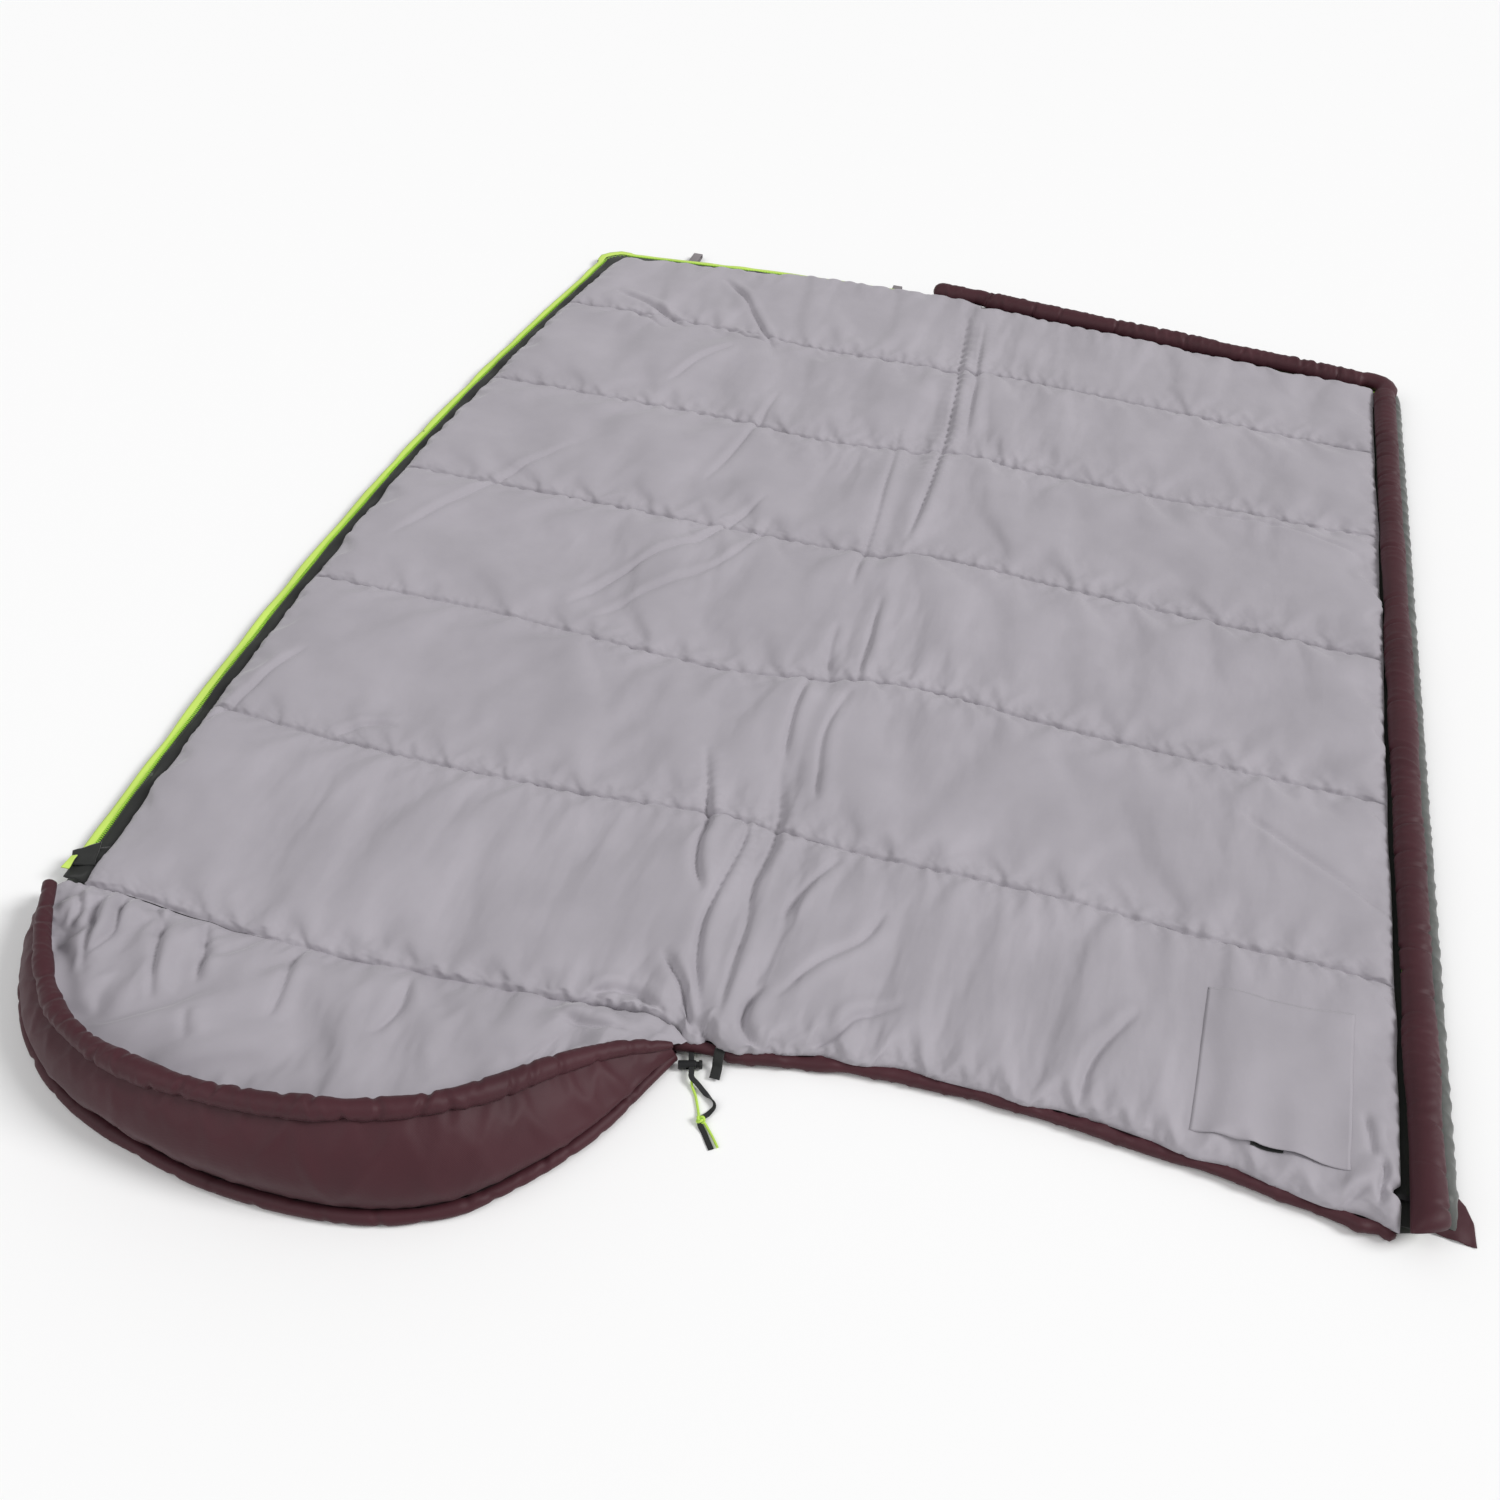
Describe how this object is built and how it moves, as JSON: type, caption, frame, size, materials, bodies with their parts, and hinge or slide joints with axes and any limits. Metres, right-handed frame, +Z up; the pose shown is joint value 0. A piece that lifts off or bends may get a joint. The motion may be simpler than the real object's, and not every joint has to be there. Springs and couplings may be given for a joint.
{
  "type": "rectangular sleeping bag",
  "caption": "Quilted rectangular sleeping bag with a padded hood, unzipped and opened flat, with a draught tube, zip, drawcord lock, inside pocket and foot loops.",
  "frame": {"origin": "on the surface that the bag lies on, under the middle of the centre fold", "axes": "X across the opened bag, the under half and its hood at -X and the upper half at +X; Y along the bag, the head at -Y and the foot at +Y; Z up"},
  "size_m": [1.6928, 2.3313, 0.1241],
  "materials": {
    "shell_fabric": "satin",
    "maroon_fabric": "satin",
    "lining_fabric": "matte",
    "wadding": "matte",
    "zip_tape": "matte",
    "lime_coil": "satin",
    "black_plastic": "satin",
    "black_cord": "matte",
    "lime_cord": "matte",
    "spring_steel": "satin",
    "grey_webbing": "matte"
  },
  "bodies": {
    "under_half": {"under_half_shell": "shell_fabric", "under_half_filling": "wadding", "under_half_lining": "lining_fabric", "zip_tape_left": "zip_tape", "zip_coil_left": "lime_coil", "insertion_pin": "black_plastic", "zip_garage": "zip_tape", "lime_end_tab": "lime_coil", "foot_loop_left": "grey_webbing", "foot_loop_right": "grey_webbing", "draught_tube_end_cover": "maroon_fabric", "draught_tube_end_core": "wadding", "flat_cord": "black_cord", "round_cord": "lime_cord", "cord_knot": "lime_cord", "flat_cord_tail": "black_cord", "round_cord_tail": "lime_cord"},
    "upper_half": {"upper_half_shell": "shell_fabric", "upper_half_filling": "wadding", "upper_half_lining": "lining_fabric", "zip_tape_right": "zip_tape", "zip_coil_right": "lime_coil", "retaining_box": "black_plastic", "draught_tube_side_cover": "maroon_fabric", "draught_tube_side_core": "wadding", "draught_tube_foot_cover": "maroon_fabric", "draught_tube_foot_core": "wadding", "head_hem": "maroon_fabric", "hanging_tab": "zip_tape", "inside_pocket": "lining_fabric", "pocket_closure": "zip_tape"},
    "hood": {"hood_floor_shell": "maroon_fabric", "hood_floor_filling": "wadding", "hood_floor_lining": "lining_fabric", "hood_wall_shell": "maroon_fabric", "hood_wall_filling": "wadding", "hood_wall_lining": "lining_fabric", "hood_rim": "maroon_fabric", "hood_drawcord": "black_cord", "hood_hem": "maroon_fabric"},
    "cord_lock": {"cord_lock_barrel": "black_plastic", "cord_lock_spring": "spring_steel"},
    "cord_lock_button": {"cord_lock_button": "black_plastic"},
    "head_slider": {"head_slider": "black_plastic"},
    "head_puller": {"head_puller": "black_plastic"},
    "foot_slider": {"foot_slider": "black_plastic"},
    "foot_puller": {"foot_puller": "black_plastic"},
    "corner_flap": {"corner_flap": "maroon_fabric"}
  },
  "joints": [
    {"name": "centre_fold", "type": "hinge", "parent": "under_half", "child": "upper_half", "pos_m": [0, 0, 0.048], "axis": [0, -1, 0], "range_deg": [0, 179]},
    {"name": "neck_fold", "type": "hinge", "parent": "under_half", "child": "hood", "pos_m": [-0.405, -0.99, 0.045], "axis": [-1, 0, 0], "range_deg": [0, 50]},
    {"name": "head_slider_travel", "type": "slide", "parent": "upper_half", "child": "head_slider", "axis": [0, 1, 0], "range_m": [0, 1.79]},
    {"name": "head_puller_swing", "type": "hinge", "parent": "head_slider", "child": "head_puller", "pos_m": [0.7688, -0.955, 0.0191], "axis": [0, 0, 1], "range_deg": [-35, 35]},
    {"name": "foot_slider_travel", "type": "slide", "parent": "upper_half", "child": "foot_slider", "axis": [0.9931, -0.1175, 0], "range_m": [0, 0.59]},
    {"name": "foot_puller_swing", "type": "hinge", "parent": "foot_slider", "child": "foot_puller", "pos_m": [0.14369, 0.95316, 0.0191], "axis": [0, 0, 1], "range_deg": [-35, 35]},
    {"name": "cord_lock_travel", "type": "slide", "parent": "under_half", "child": "cord_lock", "axis": [0.309, -0.9511, 0], "range_m": [0, 0.01]},
    {"name": "cord_lock_press", "type": "slide", "parent": "cord_lock", "child": "cord_lock_button", "axis": [-0.9511, -0.309, 0], "range_m": [0, 0.0025], "stiffness_N_per_m": 800, "springref_m": -0.001, "deforming": ["cord_lock_spring"]},
    {"name": "corner_flap_fold", "type": "hinge", "parent": "upper_half", "child": "corner_flap", "pos_m": [0.8145, -0.945, 0.014], "axis": [0, -1, 0], "range_deg": [0, 95]}
  ]
}
